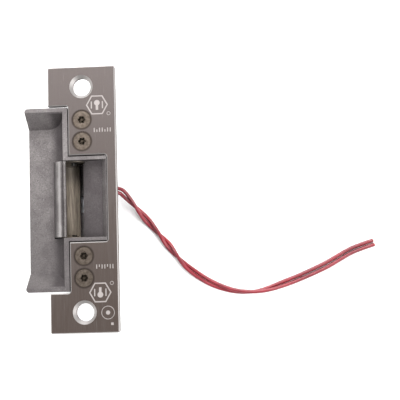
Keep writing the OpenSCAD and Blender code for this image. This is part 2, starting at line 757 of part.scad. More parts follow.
module lever_clips() {
    color([0.3, 0.3, 0.32]) for (x = [ear_left_x - 0.6, ear_right_x + ear_thick]) difference() {
        bar_x(lever_y, lever_z, lever_pin_d / 2 + 1, x, x + 0.6);
        bar_x(lever_y, lever_z, lever_pin_d / 2, x - cut, x + 0.6 + cut);
    }
}

// ---------- solenoid ----------

module solenoid_frame() {
    left = solenoid_x - solenoid_width / 2;
    right = solenoid_x + solenoid_width / 2;
    color([0.66, 0.64, 0.56]) difference() {
        union() {
            block([left, solenoid_start, carrier_z - solenoid_plate], [right, solenoid_end, carrier_z]);
            block([left, solenoid_start, leg_bottom_z], [right, bobbin_start, carrier_z]);
            block([left, bobbin_end, leg_bottom_z], [right, solenoid_end, carrier_z]);
        }
        bar_y(solenoid_x, solenoid_z, plunger_d / 2 + 0.15, solenoid_start - cut, bobbin_start + cut);
        bar_y(solenoid_x, solenoid_z, spigot_r, bobbin_end - cut, solenoid_end + cut);
        solenoid_screw_places() translate([0, 0, carrier_z - solenoid_plate - cut])
            cylinder(r = solenoid_screw_d / 2 + pin_gap, h = solenoid_plate + 2 * cut, $fn = small_fn);
    }
}

module solenoid_screws() {
    color([0.75, 0.75, 0.77]) solenoid_screw_places() difference() {
        flat_screw(solenoid_screw_head_d, solenoid_screw_d, ceiling_z, carrier_thick + solenoid_plate);
        translate([0, 0, ceiling_z - 0.7]) cylinder(r = 0.8, h = cut, $fn = 6);
    }
}

module solenoid_bobbin() {
    color([0.9, 0.88, 0.8]) difference() {
        union() {
            bar_y(solenoid_x, solenoid_z, tube_r, bobbin_start, bobbin_end);
            bar_y(solenoid_x, solenoid_z, flange_d / 2, bobbin_start, bobbin_start + flange_thick, large_fn);
            bar_y(solenoid_x, solenoid_z, flange_d / 2, bobbin_end - flange_thick, bobbin_end, large_fn);
        }
        bar_y(solenoid_x, solenoid_z, bore_r, bobbin_start - cut, bobbin_end + cut);
    }
}

module coil_winding() {
    color([0.62, 0.3, 0.16]) difference() {
        bar_y(solenoid_x, solenoid_z, winding_r - tape_thick, bobbin_start + flange_thick,
            bobbin_end - flange_thick, large_fn);
        bar_y(solenoid_x, solenoid_z, tube_r, bobbin_start, bobbin_end);
    }
}

module coil_tape() {
    color([0.85, 0.75, 0.3]) difference() {
        bar_y(solenoid_x, solenoid_z, winding_r, bobbin_start + flange_thick,
            bobbin_end - flange_thick, large_fn);
        bar_y(solenoid_x, solenoid_z, winding_r - tape_thick, bobbin_start, bobbin_end, large_fn);
    }
}

module pole_piece() {
    color([0.7, 0.7, 0.72]) {
        bar_y(solenoid_x, solenoid_z, bore_r - slide_gap / 2, pole_face, bobbin_end);
        bar_y(solenoid_x, solenoid_z, spigot_r, bobbin_end - 0.1, solenoid_end + 0.4);
    }
}

module solenoid_plunger() {
    color([0.72, 0.72, 0.74]) difference() {
        bar_y(solenoid_x, solenoid_z, plunger_d / 2, plunger_start, plunger_end);
        block([solenoid_x - slot_width / 2, plunger_start - cut, solenoid_z - plunger_d],
            [solenoid_x + slot_width / 2, slot_end, solenoid_z + plunger_d]);
        bar_x(lever_y, solenoid_z, cross_pin_d / 2, solenoid_x - plunger_d, solenoid_x + plunger_d);
        difference() {
            bar_y(solenoid_x, solenoid_z, plunger_d, clip_y, clip_y + clip_thick);
            bar_y(solenoid_x, solenoid_z, clip_groove_r, clip_y - cut, clip_y + clip_thick + cut);
        }
    }
}

module cross_pin() {
    half = plunger_d / 2 - 0.2;
    color([0.75, 0.75, 0.77])
        bar_x(lever_y, solenoid_z, cross_pin_d / 2, solenoid_x - half, solenoid_x + half);
}

module plunger_clip() {
    mouth = clip_groove_r * 1.3;
    color([0.3, 0.3, 0.32]) difference() {
        bar_y(solenoid_x, solenoid_z, clip_r, clip_y, clip_y + clip_thick);
        bar_y(solenoid_x, solenoid_z, clip_groove_r, clip_y - cut, clip_y + clip_thick + cut);
        block([solenoid_x - mouth / 2, clip_y - cut, solenoid_z - clip_r - cut],
            [solenoid_x + mouth / 2, clip_y + clip_thick + cut, solenoid_z]);
    }
}

module plunger_spring() {
    from = clip_y + clip_thick + plunger_spring_wire / 2;
    to = solenoid_start - plunger_spring_wire / 2;
    color([0.72, 0.72, 0.7]) wire(
        coil_line(solenoid_x, solenoid_z, plunger_spring_r, from, to, plunger_spring_turns, 16, 0),
        plunger_spring_wire / 2, [0, 0, 1], [1, 0, 0]);
}

// ---------- back cover ----------

module back_cover() {
    color([0.62, 0.62, 0.64]) difference() {
        block([-case_left, -case_half, back_z], [case_right, case_half, floor_z]);
        cover_screw_places() mirror([0, 0, 1])
            flat_screw_seat(cover_screw_head_d, cover_screw_d, -back_z, cover_thick + 1);
    }
}

module cover_screws() {
    color([0.75, 0.75, 0.77]) cover_screw_places() difference() {
        mirror([0, 0, 1])
            flat_screw(cover_screw_head_d, cover_screw_d, -back_z, cover_thick + cover_screw_reach - 1);
        translate([0, 0, back_z - cut]) cylinder(r = 0.8, h = cut + 0.9, $fn = 6);
    }
}

// ---------- leads ----------

module wire_grommet() {
    color([0.12, 0.12, 0.13]) difference() {
        union() {
            bar_x(lead_y, lead_z, grommet_r, cavity_right, case_right);
            bar_x(lead_y, lead_z, grommet_flange_r, case_right, grommet_out_x);
        }
        for (s = [-1, 1])
            bar_x(lead_y + s * lead_spread, lead_z, lead_d / 2, cavity_right - cut, grommet_out_x + cut);
    }
}

// The inner end of each lead, from the coil to the outside of the grommet
module coil_leads() {
    start_x = solenoid_x + winding_r + 0.1;
    start_y = bobbin_start + flange_thick + lead_d;
    color([0.75, 0.2, 0.23]) for (s = [-1, 1]) {
        y = lead_y + s * lead_spread;
        line = smooth_line([[start_x, start_y + s * lead_spread, lead_z],
            [start_x + 1.2, start_y + s * lead_spread, lead_z], [cavity_right - 1.4, y, lead_z],
            [cavity_right, y, lead_z]], 3);
        wire(line, lead_d / 2, [1, 0, 0], [0, 0, 1]);
        bar_x(y, lead_z, lead_d / 2, cavity_right - 0.05, grommet_out_x);
    }
}

module lead_wire_one() {
    color([0.75, 0.2, 0.23])
        wire(lead_line(smooth_line(pair_route, 2), 1), lead_d / 2, [1, 0, 0], [0, 0, 1]);
}

module lead_wire_two() {
    color([0.75, 0.2, 0.23])
        wire(lead_line(smooth_line(pair_route, 2), -1), lead_d / 2, [1, 0, 0], [0, 0, 1]);
}

faceplate();
faceplate_screws();
case_casting();
jaw();
jaw_pins();
jaw_spring();
carrier_plate();
carrier_screws();
lock_lever();
lever_pin();
lever_clips();
solenoid_frame();
solenoid_screws();
solenoid_bobbin();
coil_winding();
coil_tape();
pole_piece();
solenoid_plunger();
cross_pin();
plunger_clip();
plunger_spring();
back_cover();
cover_screws();
wire_grommet();
coil_leads();
lead_wire_one();
lead_wire_two();
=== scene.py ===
# %% [markdown]
# # An electric door strike
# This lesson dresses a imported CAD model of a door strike: a notched steel faceplate, a cast case
# with a curved lip, a swinging jaw in a window, and a pair of red leads. The CAD model gives every
# size and place. Here we add the softened cast edges, the round leads, and a finish for each metal.

# %% Load the frame
import json
import math
import bmesh
import bpy
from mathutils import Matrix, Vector


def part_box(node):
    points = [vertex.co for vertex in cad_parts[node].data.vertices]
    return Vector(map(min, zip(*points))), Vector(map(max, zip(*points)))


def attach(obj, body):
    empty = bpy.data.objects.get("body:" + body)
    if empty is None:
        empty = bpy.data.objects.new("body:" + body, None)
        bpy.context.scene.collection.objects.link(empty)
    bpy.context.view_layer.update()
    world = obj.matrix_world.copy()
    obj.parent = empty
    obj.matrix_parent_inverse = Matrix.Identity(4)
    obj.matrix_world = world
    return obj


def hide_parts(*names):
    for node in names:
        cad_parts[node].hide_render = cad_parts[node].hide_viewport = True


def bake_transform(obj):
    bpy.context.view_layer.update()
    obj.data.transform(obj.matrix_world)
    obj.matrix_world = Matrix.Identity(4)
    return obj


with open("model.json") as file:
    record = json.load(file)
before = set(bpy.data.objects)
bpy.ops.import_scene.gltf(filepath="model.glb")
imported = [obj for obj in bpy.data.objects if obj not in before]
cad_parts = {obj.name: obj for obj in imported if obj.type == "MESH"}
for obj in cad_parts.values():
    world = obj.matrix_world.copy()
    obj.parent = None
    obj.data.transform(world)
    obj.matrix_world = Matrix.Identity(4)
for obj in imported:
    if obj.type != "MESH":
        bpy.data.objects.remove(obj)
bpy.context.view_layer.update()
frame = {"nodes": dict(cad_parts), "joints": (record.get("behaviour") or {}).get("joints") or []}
nodes = frame["nodes"]
MM = 0.001

# %% [markdown]
# ## The camera
# The strike lies on its back on a white bench and is seen from almost straight above. The camera
# leans a few degrees towards the leads and the lower end, so the upper end wall of the lip looks a
# little longer than the lower one. It looks at the middle of the strike and its leads together, so it
# needs no shift.

# %% Place the camera
face_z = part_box("faceplate")[1].z
bench_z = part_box("back_cover")[0].z
camera_data = bpy.data.cameras.new("bench_camera")
camera_data.sensor_width = 36.0
camera_data.lens = 78.4
camera_data.dof.use_dof = False
camera = bpy.data.objects.new("bench_camera", camera_data)
camera.location = (75.6 * MM, -39.0 * MM, 400.0 * MM)
camera.rotation_euler = [math.radians(angle) for angle in (5.13, 3.25, -1.66)]
bpy.context.scene.collection.objects.link(camera)
bpy.context.scene.camera = camera
print("camera height over the face in mm:", round((camera.location.z - face_z) / MM, 1))

# %% [markdown]
# ## The two leads
# Two limp wires leave the grommet in the side wall side by side, drop to the bench, twist round each
# other for a few turns and then run side by side to their cut ends. One list holds the way of the
# middle of the pair, the twist and half the gap, and each lead is worked out from it. So the pair
# never runs through itself, and moving one point moves both leads.

# %% The way of the pair
# X and Y from the grommet's mouth in mm, the share of the drop to the bench, the twist in degrees,
# and half the gap between the leads as a share of the usual one
pair_route = [
    [0, 0, 0, 0, 1], [2.4, -0.8, 0.08, 5, 1], [4.6, -3.1, 0.29, 30, 1.05],
    [7.3, -6.5, 0.55, 65, 1.05], [10.2, -10.2, 0.8, 115, 1], [13.5, -14.3, 0.96, 170, 1],
    [16.9, -18.4, 1, 225, 0.95], [20.5, -22.7, 1, 275, 0.95], [23.7, -26.9, 1, 340, 0.95],
    [27, -31.3, 1, 415, 0.95], [31, -36.1, 1, 475, 0.95], [35.8, -40.6, 1, 520, 0.95],
    [44.8, -46.6, 1, 560, 0.95], [56.4, -50.9, 1, 605, 0.95], [68.4, -51.4, 1, 640, 0.95],
    [79.9, -48.3, 1, 700, 1], [91.2, -44.2, 1, 720, 1.05], [102.8, -39.1, 1, 720, 1.1],
    [114.4, -32.9, 1, 720, 1.05], [125.7, -29.1, 1, 720, 1.05]]
lead_d = 1.8
mouth = Vector((11.6, 6.0, -23.0))
bench_clearance = 0.05
side_clearance = 0.15
bench_lead_z = bench_z / MM + lead_d / 2 + bench_clearance
half_gap = lead_d / 2 + side_clearance


def kept(points, i):
    """Point i, or the first or last one where i runs past an end."""
    return points[min(max(i, 0), len(points) - 1)]


def halfway(points, i):
    """The point on a smooth line between two of its points."""
    a, b, c, d = (kept(points, i + k) for k in (-1, 0, 1, 2))
    return [(9 * (q + r) - p - s) / 16 for p, q, r, s in zip(a, b, c, d)]


def smooth(points):
    """The same points with one more on the smooth line between each two."""
    line = []
    for i, point in enumerate(points[:-1]):
        line += [point, halfway(points, i)]
    return line + [points[-1]]


def middle(row):
    """The middle of the pair, in mm, at one row of the route."""
    x, y, drop = row[:3]
    return mouth + Vector((x, y, drop * (bench_lead_z - mouth.z)))


def lead_points(pair, side):
    """The middle of one lead, on the side +1 or -1 of the pair."""
    points = []
    for i, row in enumerate(pair):
        twist = math.radians(row[3])
        gap = half_gap * row[4]
        along = middle(kept(pair, i + 1)) - middle(kept(pair, i - 1)) if i else Vector((1, 0, 0))
        left = Vector((-along.y, along.x, 0)).normalized()
        up = along.normalized().cross(left)
        lift = Vector((0, 0, gap * abs(math.sin(twist))))
        outward = math.cos(twist) * left + math.sin(twist) * up
        points.append(middle(row) + lift + side * gap * outward)
    return [p * MM for p in points]


pair = smooth(pair_route)
print("points on each lead:", len(pair))

# %% [markdown]
# A lead is a curve with a round bevel, which keeps the same thickness everywhere and gives its true
# length. Automatic handles make the bends smooth between the points. The thickness is the bevel's
# depth times each point's radius, and Blender grows a curve's box by that radius. So the depth is 1
# and the radius is the lead's own, in metres, and the box comes out true.

# %% Make the leads


def make_lead(name, side, cad_node):
    """Makes one lead and returns it with its points and its length in metres."""
    points = lead_points(pair, side)
    curve = bpy.data.curves.new(name, "CURVE")
    curve.dimensions = "3D"
    curve.bevel_depth = 1
    curve.bevel_resolution = 6
    curve.resolution_u = 8
    curve.use_fill_caps = True
    spline = curve.splines.new("BEZIER")
    spline.bezier_points.add(len(points) - 1)
    for knot, place in zip(spline.bezier_points, points):
        knot.co = place
        knot.radius = lead_d / 2 * MM
        knot.handle_left_type = "AUTO"
        knot.handle_right_type = "AUTO"
    lead = bpy.data.objects.new(name, curve)
    bpy.context.scene.collection.objects.link(lead)
    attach(lead, "case")
    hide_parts(cad_node)
    length = sum((b - a).length for a, b in zip(points, points[1:]))
    print(name, "length in mm:", round(length / MM, 1))
    return lead, points, length


leads = [make_lead("lead_one", 1, "lead_wire_one"), make_lead("lead_two", -1, "lead_wire_two")]

# %% [markdown]
# The leads are cut square, so each end shows the ends of its copper strands. A ring of six round one
# is how a seven-strand conductor lies. Each strand is a short closed bar that stands a hair proud of
# the insulation.

# %% Strands at the cut ends


bar_sides = 12


def add_bar(mesh, start, along, radius, length):
    """Adds a closed round bar with a small rounded end to a mesh."""
    turn = along.to_track_quat("Z", "Y")
    rings = [(0, radius), (length - radius * 0.4, radius), (length, radius * 0.6)]
    loops = []
    for height, r in rings:
        loop = []
        for k in range(bar_sides):
            a = 2 * math.pi * k / bar_sides
            corner = Vector((r * math.cos(a), r * math.sin(a), height))
            loop.append(mesh.verts.new(start + turn @ corner))
        loops.append(loop)
    for low, high in zip(loops, loops[1:]):
        for k in range(bar_sides):
            n = (k + 1) % bar_sides
            mesh.faces.new((low[k], low[n], high[n], high[k]))
    mesh.faces.new(list(reversed(loops[0])))
    mesh.faces.new(loops[-1])


def mesh_object(name, mesh, body):
    """Turns a finished bmesh into a piece that rides on a body."""
    data = bpy.data.meshes.new(name)
    mesh.to_mesh(data)
    mesh.free()
    piece = bpy.data.objects.new(name, data)
    bpy.context.scene.collection.objects.link(piece)
    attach(piece, body)
    return piece


def strand_ends(name, points):
    """Seven copper bars that stick out of a lead's cut end."""
    mesh = bmesh.new()
    end = points[-1]
    along = (points[-1] - points[-2]).normalized()
    turn = along.to_track_quat("Z", "Y")
    strand_r = 0.14 * MM
    ring_r = 2.1 * strand_r
    buried, proud = 0.6 * MM, 0.25 * MM
    places = [Vector((0, 0, 0))]
    for k in range(6):
        a = math.radians(60 * k)
        places.append(Vector((math.cos(a), math.sin(a), 0)) * ring_r)
    for place in places:
        add_bar(mesh, end + turn @ place - along * buried, along, strand_r, buried + proud)
    return mesh_object(name, mesh, "case")


strands = []
for word, (lead, points, length) in zip(("one", "two"), leads):
    strand = strand_ends(f"strand_ends_{word}", points)
    strands.append(strand)
print("faces on each strand end:", [len(strand.data.polygons) for strand in strands])

# %% [markdown]
# ## Writing materials as sums
# Shader maths reads best as ordinary Python. It could be wired by hand, node by node, but a sum like
# `0.42 + brushed * 0.14` says what it does at a glance. This small class wraps a socket, so that
# `1 - mask` or `grain * 0.3` adds the Math node itself.

# %% A wrapper for sockets


class Signal:
    """A number, colour or vector that a node gives out."""

    def __init__(self, finish, socket):
        self.finish = finish
        self.socket = socket

    def math(self, operation, *values):
        return self.finish.node("ShaderNodeMath", {"operation": operation}, dict(enumerate(values)))

    def __add__(self, other):
        return self.math("ADD", self, other)

    def __sub__(self, other):
        return self.math("SUBTRACT", self, other)

    def __rsub__(self, other):
        return self.math("SUBTRACT", other, self)

    def __mul__(self, other):
        return self.math("MULTIPLY", self, other)

    __radd__ = __add__
    __rmul__ = __mul__

    def above(self, limit):
        """1 where this is over the limit, and 0 elsewhere."""
        return self.math("GREATER_THAN", self, limit)

    def least(self, other):
        return self.math("MINIMUM", self, other)

    def absolute(self):
        return self.math("ABSOLUTE", self)

    def root(self):
        return self.math("SQRT", self)

    def sine(self):
        return self.math("SINE", self)

    def step(self, low, high):
        """0 below low, 1 above high, and smooth between."""
        return self.finish.node("ShaderNodeMapRange", {"interpolation_type": "SMOOTHSTEP"},
                                {"Value": self, "From Min": low, "From Max": high})

    def part(self, name):
        """X, Y or Z of a vector."""
        return self.finish.node("ShaderNodeSeparateXYZ", sockets={0: self}, out=name)


print("operators on a signal: + - *")

# %% [markdown]
# ## One finish
# Every material here starts from the same Principled shader, so a second class holds the shader and
# the few maps that all of them use: noise of a size in mm, a blend of two colours, and a bump of a
# depth in mm. One method, `node`, adds any node from its kind, its settings and its sockets.

# %% A finish and its maps


class Finish:
    """One material, with a Principled shader and helpers for its maps."""

    def __init__(self, name, metallic=0.0, specular=0.5, coat=0.0, coat_roughness=0.1):
        self.material = bpy.data.materials.new(name)
        self.material.use_nodes = True
        self.tree = self.material.node_tree
        self.shader = self.tree.nodes["Principled BSDF"]
        self.shader.inputs["Metallic"].default_value = metallic
        self.shader.inputs["Specular IOR Level"].default_value = specular
        self.shader.inputs["Coat Weight"].default_value = coat
        self.shader.inputs["Coat Roughness"].default_value = coat_roughness
        self.shader.inputs["IOR"].default_value = 1.5
        self.place = self.node("ShaderNodeTexCoord", out="Object")

    def node(self, kind, settings=None, sockets=None, out=0):
        """Any node: its settings first, then its sockets by number or by name."""
        made = self.tree.nodes.new(kind)
        for key, value in (settings or {}).items():
            setattr(made, key, value)
        for key, value in (sockets or {}).items():
            self.feed(made.inputs[key], value)
        return Signal(self, made.outputs[out])

    def feed(self, socket, value):
        """Links a signal to a socket, or sets a plain value on it."""
        if isinstance(value, Signal):
            self.tree.links.new(value.socket, socket)
        elif socket.type == "RGBA" and len(value) == 3:
            socket.default_value = (*value, 1.0)
        else:
            socket.default_value = value

    def stretched(self, x, y, z):
        """The object's own place, in mm, scaled along each axis."""
        return self.node("ShaderNodeVectorMath", {"operation": "MULTIPLY"},
                         {0: self.place, 1: (x / MM, y / MM, z / MM)})

    def noise(self, size, detail=3.0, rough=0.55, stretch=(1, 1, 1)):
        """Noise whose features are about this many mm across."""
        x, y, z = (s / size for s in stretch)
        return self.node("ShaderNodeTexNoise", sockets={
            "Vector": self.stretched(x, y, z), "Scale": 1.0, "Detail": detail, "Roughness": rough})

    def blend(self, mask, first, second):
        """The first colour where the mask is 0, and the second where it is 1."""
        return self.node("ShaderNodeMix", {"data_type": "RGBA"}, {0: mask, 6: first, 7: second}, out=2)

    def height(self, signal, depth):
        """A bump of this depth in mm."""
        return self.node("ShaderNodeBump", sockets={
            "Height": signal, "Strength": 1.0, "Distance": depth * MM})

    def set(self, **inputs):
        """Feeds the shader's own sockets and gives back the material."""
        for key, value in inputs.items():
            self.feed(self.shader.inputs[key.replace("_", " ")], value)
        return self.material


def assign(node, material):
    """Gives a CAD node one material."""
    mesh = nodes[node].data
    mesh.materials.clear()
    mesh.materials.append(material)


print("finishes will be built from", len(nodes), "CAD nodes' places")

# %% [markdown]
# ## Satin faceplate
# The plate is rolled steel with a dull, warm grey plating. Long fine scratches run along it, and its
# tone is painted lighter at the upper end and darker and browner at the lower one, as painted shade
# away from the light over the upper end. Three places differ, and each is found from the shape alone.
# The engraved marks are the only upward faces just under the front. The chamfers and dimples get a
# painted highlight, and they are the faces that lean. A ring of painted shade lies round the four
# screw heads, which are a known distance from the middle.

# %% Distances on the faceplate
screw_ys = (26.6, 36.75)
screw_head_r = 4.4
engraving_floor, engraving_top = face_z - 0.2 * MM, face_z - 0.04 * MM
print("engraved marks lie this far under the face, in mm:",
      [round((face_z - level) / MM, 2) for level in (engraving_top, engraving_floor)])


def screw_distance(look):
    """Distance in mm from the nearest faceplate screw's axis."""
    x, y = look.place.part("X") * (1 / MM), look.place.part("Y").absolute() * (1 / MM)
    inner, outer = ((x * x + (y - screw_y) * (y - screw_y)).root() for screw_y in screw_ys)
    return inner.least(outer)


# %% Faceplate finish


def satin_plate():
    """Warm grey plating with brushing, painted shade and highlights, and engraved marks."""
    look = Finish("satin_plate", metallic=0.92)
    z = look.place.part("Z")
    up = look.node("ShaderNodeNewGeometry", out="Normal").part("Z")
    brushed = look.noise(0.25, detail=4, rough=0.6, stretch=(1, 0.02, 1))
    scratch = look.noise(0.4, detail=2, rough=0.5, stretch=(1, 0.045, 1)).step(0.66, 0.74)
    cloud = look.noise(24, detail=3, rough=0.5)
    grain = look.noise(0.5, detail=3, rough=0.6)
    # Painted shade: the tone grows darker and browner towards the lower end, away from the light.
    lower_shade = (cloud * 60 * MM - look.place.part("Y")).step(-30 * MM, 95 * MM)
    tone = look.blend(lower_shade, (0.108, 0.092, 0.088), (0.078, 0.06, 0.052))
    tone = look.blend(brushed.step(0.35, 0.75) * 0.3, tone, (0.135, 0.118, 0.113))
    tone = look.blend(scratch * 0.25, tone, (0.22, 0.2, 0.195))
    # Painted shade in a ring round each screw head, where the head meets the plate.
    screw_ring_shade = screw_distance(look).step(screw_head_r + 0.1, screw_head_r + 0.75)
    tone = look.blend(screw_ring_shade, (0.05, 0.04, 0.035), tone)
    # Painted highlight on the chamfers and dimples, the faces that lean.
    chamfer_highlight = up.step(0.3, 0.4) * (1 - up.step(0.85, 0.95))
    tone = look.blend(chamfer_highlight * 0.8, tone, (0.46, 0.44, 0.43))
    engraved = (engraving_top - z).above(0.0) * z.above(engraving_floor) * up.step(0.95, 0.99)
    tone = look.blend(engraved, tone, (0.36, 0.33, 0.32))
    rough = 0.42 + brushed * 0.14 + grain * 0.08 + engraved * 0.15
    return look.set(Base_Color=tone, Roughness=rough, Normal=look.height(brushed + grain * 0.6, 0.02))


assign("faceplate", satin_plate())
print("nodes in the faceplate finish:", len(nodes["faceplate"].data.materials[0].node_tree.nodes))

# %% [markdown]
# ## Cast grey case
# The case and lip are a die casting left as cast: a cool grey skin with a fine pebbled grain. Two
# sizes of noise give the grain, a wide one clouds the tone, and a sparse one scatters small bright
# flecks as painted glints. The ledge in the window, the curve of the lip and the lower end are
# painted darker than the rest as painted shade, and each is found from its place.

# %% Cast finish


ledge_left, ledge_right = -3.0 * MM, 8.4 * MM
curve_left, curve_full, curve_right = -17.5 * MM, -12.5 * MM, -9.3 * MM
trough_floor = -6.0 * MM
rim_low, rim_high = 1.6 * MM, 2.3 * MM
lower_end, lower_fade = -28 * MM, 12 * MM


def cast_skin(name, tone_low, tone_high, grain_depth=0.09, rough_low=0.5):
    """The pebbled skin that every casting here shares."""
    look = Finish(name, metallic=0.6, specular=0.3)
    pebble = look.noise(0.6, detail=4, rough=0.7)
    fine = look.noise(0.16, detail=3, rough=0.6)
    cloud = look.noise(9, detail=4, rough=0.6)
    # Painted glints: sparse small flecks lightened as if they caught the light.
    glint_flecks = look.noise(0.5, detail=3, rough=0.6).step(0.62, 0.7)
    tone = look.blend(cloud.step(0.35, 0.65), tone_low, tone_high)
    tone = look.blend(pebble.step(0.45, 0.7) * 0.6, tone, tuple(0.5 * c for c in tone_low))
    tone = look.blend(glint_flecks * 0.55, tone, (0.4, 0.385, 0.385))
    rough = rough_low + pebble * 0.18 + fine * 0.06
    return look, tone, rough, look.height(pebble * 0.7 + fine * 0.4, grain_depth)


def cast_case():
    look, tone, rough, bump = cast_skin("cast_case", (0.13, 0.117, 0.117), (0.18, 0.165, 0.163))
    x, z = look.place.part("X"), look.place.part("Z")
    under_rim = 1 - z.step(rim_low, rim_high)
    # Painted shade on the ledge in the window, down in the recess under the rim.
    ledge_shade = x.above(ledge_left) * (1 - x.above(ledge_right)) * z.above(trough_floor) * under_rim
    tone = look.blend(ledge_shade * 0.6, tone, (0.03, 0.023, 0.026))
    # Painted shade on the curve of the lip, which faces away from the light.
    curve = x.step(curve_left, curve_full) * (1 - x.above(curve_right))
    curve = curve * z.above(trough_floor) * under_rim
    tone = look.blend(curve * 0.7, tone, (0.03, 0.024, 0.026))
    # Painted shade: darker towards the lower end, away from the light.
    lower_shade = 1 - look.place.part("Y").step(lower_end, lower_fade)
    tone = look.blend(lower_shade * 0.45, tone, (0.05, 0.044, 0.045))
    return look.set(Base_Color=tone, Roughness=rough, Normal=bump)


cast_case_finish = cast_case()
print("nodes in the cast finish:", len(cast_case_finish.node_tree.nodes))

# %% [markdown]
# ## Jaw
# The jaw is a smoother casting. Its nose is rubbed grey by latch bolts, and the hollow behind the
# nose keeps an olive tan plating. The middle of the nose gets a painted highlight streak, and its
# left side, the line beside its rim and the upper end of the hollow get painted shade. The hollow is
# the part that lies close to the jaw's axis, so the distance from that axis makes the mask. The mask
# is in the jaw's own space and turns with it.

# %% Jaw finish
jaw_joint = next(j for j in frame["joints"] if j["name"] == "jaw_pivot")
axis_x, _, axis_z = jaw_joint["pos_m"]
nose_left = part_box("jaw")[0].x
hollow_left = -7.9 * MM
hollow_r = 7.1 * MM
pin_hole_r = 1.65 * MM
print("width of the jaw's nose in mm:", round((hollow_left - nose_left) / MM, 2))


def jaw_skin():
    """Grey nose with painted highlight and shade, tan hollow and dark pin holes."""
    look, tone, rough, bump = cast_skin("jaw_skin", (0.13, 0.118, 0.115), (0.25, 0.232, 0.228),
                                        grain_depth=0.07, rough_low=0.3)
    across, rise = look.place.part("X") - axis_x, look.place.part("Z") - axis_z
    reach = (across * across + rise * rise).root()
    hollow = 1 - reach.step(hollow_r - 0.15 * MM, hollow_r + 0.15 * MM)
    share = (look.place.part("X") - nose_left) * (1 / (hollow_left - nose_left))
    # Painted shade on the left side of the nose and on the line beside its rim.
    shade = 1 - share.step(0.14, 0.52) + share.step(0.66, 0.73) * (1 - share.step(0.76, 0.84))
    tone = look.blend(shade * 0.75, tone, (0.03, 0.026, 0.027))
    # Painted highlight: a bright streak down the middle of the nose.
    nose_highlight = share.step(0.4, 0.52) * (1 - share.step(0.58, 0.68))
    tone = look.blend(nose_highlight * 0.45, tone, (0.42, 0.4, 0.395))
    streaks = look.noise(0.7, detail=3, stretch=(1, 0.08, 1))
    tan = look.blend(streaks.step(0.3, 0.7), (0.14, 0.115, 0.092), (0.25, 0.212, 0.168))
    # Painted shade at the upper end of the hollow.
    tan = look.blend(look.place.part("Y").step(5 * MM, 16 * MM) * 0.6, tan, (0.05, 0.045, 0.04))
    tan = look.blend(reach.step(pin_hole_r, pin_hole_r + 0.35 * MM), (0.012, 0.011, 0.01), tan)
    return look.set(Base_Color=look.blend(hollow, tone, tan), Roughness=rough, Normal=bump)


jaw_finish = jaw_skin()

# %% [markdown]
# ## Cast edges
# A casting has no knife edges, and bright lines along its rounded rims are what make it read as
# metal. The CAD solids have sharp edges. A copy of the node is cleaned into large flat faces, and a
# Bevel modifier rounds every edge that turns by more than a set angle. The copy stands for the node.

# %% Soften the case and the jaw


sharp_angle = math.radians(32)
flat_angle = math.radians(1.5)
weld_distance = 0.002 * MM


def softened(node, name, body, material, width):
    """A copy of a CAD node with its edges rounded by this width in mm."""
    mesh = bmesh.new()
    mesh.from_mesh(nodes[node].data)
    bmesh.ops.remove_doubles(mesh, verts=mesh.verts, dist=weld_distance)
    bmesh.ops.dissolve_limit(mesh, angle_limit=flat_angle, verts=mesh.verts, edges=mesh.edges)
    piece = mesh_object(name, mesh, body)
    bevel = piece.modifiers.new("rounding", "BEVEL")
    bevel.width = width * MM
    bevel.segments = 3
    bevel.limit_method = "ANGLE"
    bevel.angle_limit = sharp_angle
    bevel.use_clamp_overlap = True
    bevel.harden_normals = True
    for face in piece.data.polygons:
        face.use_smooth = True
    piece.data.set_sharp_from_angle(angle=sharp_angle)
    piece.data.materials.append(material)
    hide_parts(node)
    print(name, "faces before rounding:", len(piece.data.polygons))


softened("case_casting", "case_body", "case", cast_case_finish, 0.22)
softened("jaw", "jaw_body", "jaw", jaw_finish, 0.15)

# %% [markdown]
# ## Screws, pins and the lock inside
# Turned and plated parts share one recipe: a tone, fine lathe marks, and a little wear. The recipe
# takes its colours and the scale of the marks, so each part's finish is a single line.

# %% Plated metal recipe


mark_depth = 0.008


def plated(name, dark, light, rough=0.3, mark=0.12, metallic=1.0):
    """A plated metal between two tones, with lathe marks this many mm wide."""
    look = Finish(name, metallic=metallic)
    marks = look.noise(mark, detail=3, rough=0.6)
    cloud = look.noise(2.4, detail=3, rough=0.5)
    stain = look.noise(0.9, detail=4, rough=0.7)
    tone = look.blend(cloud.step(0.3, 0.7), dark, light)
    tone = look.blend(stain.step(0.6, 0.85) * 0.4, tone, tuple(0.6 * c for c in dark))
    return look.set(Base_Color=tone, Roughness=rough + marks * 0.15,
                    Normal=look.height(marks, mark_depth))


zinc_finish = plated("bright_zinc", (0.48, 0.48, 0.5), (0.66, 0.66, 0.68))
yellow_finish = plated("yellow_zinc", (0.46, 0.4, 0.22), (0.62, 0.56, 0.36))
black_finish = plated("black_phosphate", (0.02, 0.02, 0.022), (0.045, 0.045, 0.05),
                      rough=0.5, metallic=0.4)
spring_finish = plated("spring_wire", (0.4, 0.39, 0.37), (0.6, 0.59, 0.57), rough=0.26)
cover_finish = plated("cover_sheet", (0.4, 0.4, 0.42), (0.56, 0.56, 0.58), rough=0.36, mark=0.3)

for names, finish in (
    (("carrier_plate", "carrier_screws", "lever_pin", "solenoid_screws", "pole_piece",
      "solenoid_plunger", "cross_pin", "cover_screws"), zinc_finish),
    (("lock_lever", "solenoid_frame"), yellow_finish),
    (("lever_clips", "plunger_clip", "jaw_pins"), black_finish),
    (("jaw_spring", "plunger_spring"), spring_finish),
    (("back_cover",), cover_finish),
):
    for node in names:
        assign(node, finish)
    print("nodes with", finish.name, "-", len(names))

# %% [markdown]
# The return spring sits between the plunger's clip and the coil. A copy of its wire stands in for
# it, with the wire's place baked into the copy's mesh.

